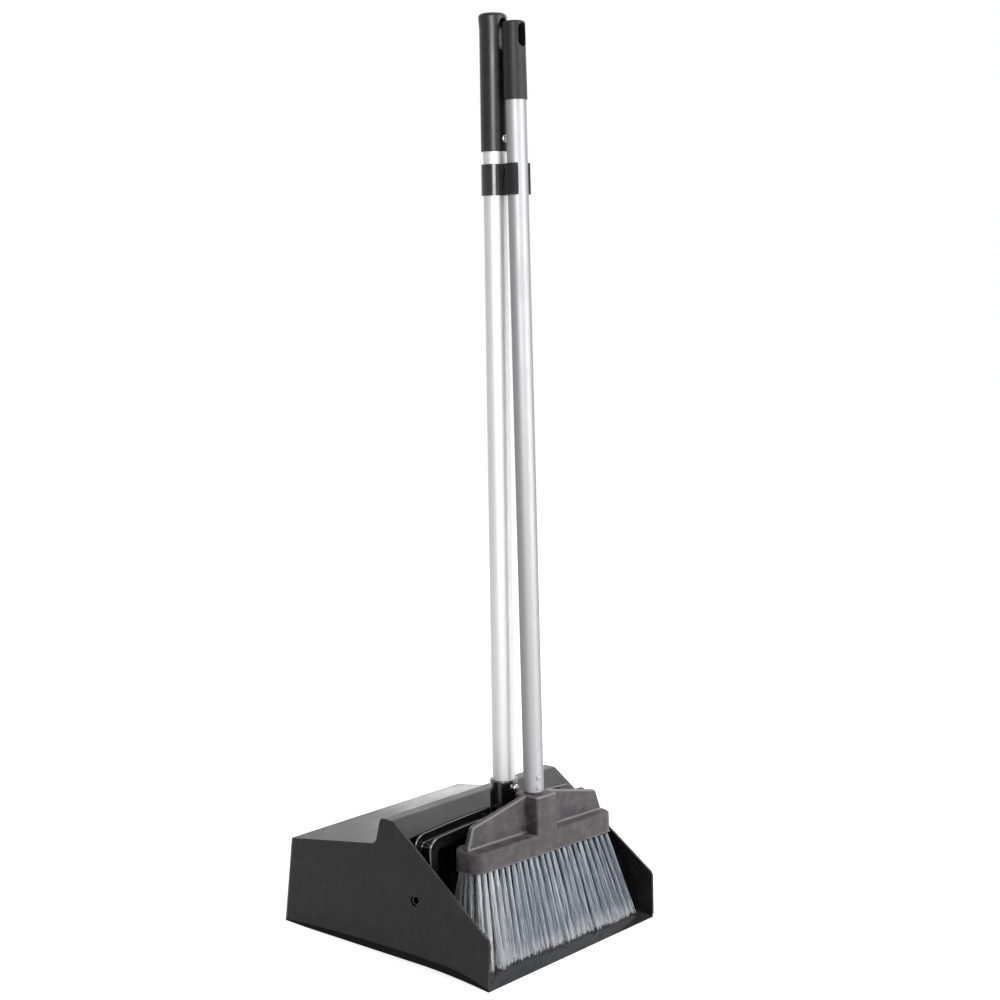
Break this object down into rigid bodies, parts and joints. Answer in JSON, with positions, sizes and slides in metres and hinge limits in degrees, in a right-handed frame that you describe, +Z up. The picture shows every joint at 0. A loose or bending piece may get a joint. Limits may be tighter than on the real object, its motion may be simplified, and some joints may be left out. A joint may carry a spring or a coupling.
{
  "type": "dust pan and brush set",
  "caption": "Upright dust pan with a hooded body, a stick on a swinging yoke and a broom held in a clip on the stick, for sweeping without bending.",
  "frame": {"origin": "on the ground, under the middle of the pan's outline", "axes": "+X across the pan to the right seen from the front, +Y to the rear, +Z up along the sticks"},
  "size_m": [0.2838, 0.31, 0.9934],
  "materials": {
    "pan_plastic": "satin moulded black",
    "gloss_black": "glossy moulded black",
    "grip_plastic": "satin moulded charcoal",
    "head_plastic": "matt moulded dark grey",
    "aluminium": "satin anodised",
    "broom_aluminium": "satin anodised, a little darker",
    "steel": "zinc plated",
    "bristle": "grey synthetic bristle"
  },
  "bodies": {
    "pan": {"pan_body": "pan_plastic"},
    "handle": {"yoke": "gloss_black", "pivot_pin_left": "gloss_black", "pivot_pin_right": "gloss_black", "pan_tube": "aluminium", "socket_screw": "steel", "pan_grip": "grip_plastic", "grip_screw": "steel", "broom_clip": "grip_plastic"},
    "broom": {"broom_head": "head_plastic", "threaded_tip": "head_plastic", "broom_tube": "broom_aluminium", "tip_rivet_lower": "steel", "tip_rivet_upper": "steel", "broom_grip": "grip_plastic", "bristle_row_1": "bristle", "bristle_row_2": "bristle", "bristle_row_3": "bristle", "bristle_row_4": "bristle", "bristle_row_5": "bristle"}
  },
  "joints": [
    {"name": "handle_tilt", "type": "hinge", "parent": "pan", "child": "handle", "pos_m": [0, -0.0495, 0.071], "axis": [1, 0, 0], "range_deg": [0, 80]},
    {"name": "broom_lift", "type": "slide", "parent": "handle", "child": "broom", "axis": [0, 0.0366, 0.9993], "range_m": [0, 0.28]}
  ],
  "couplings": [
    {"joint": "broom_lift", "follows": "handle_tilt", "m_per_rad": 0.2}
  ]
}
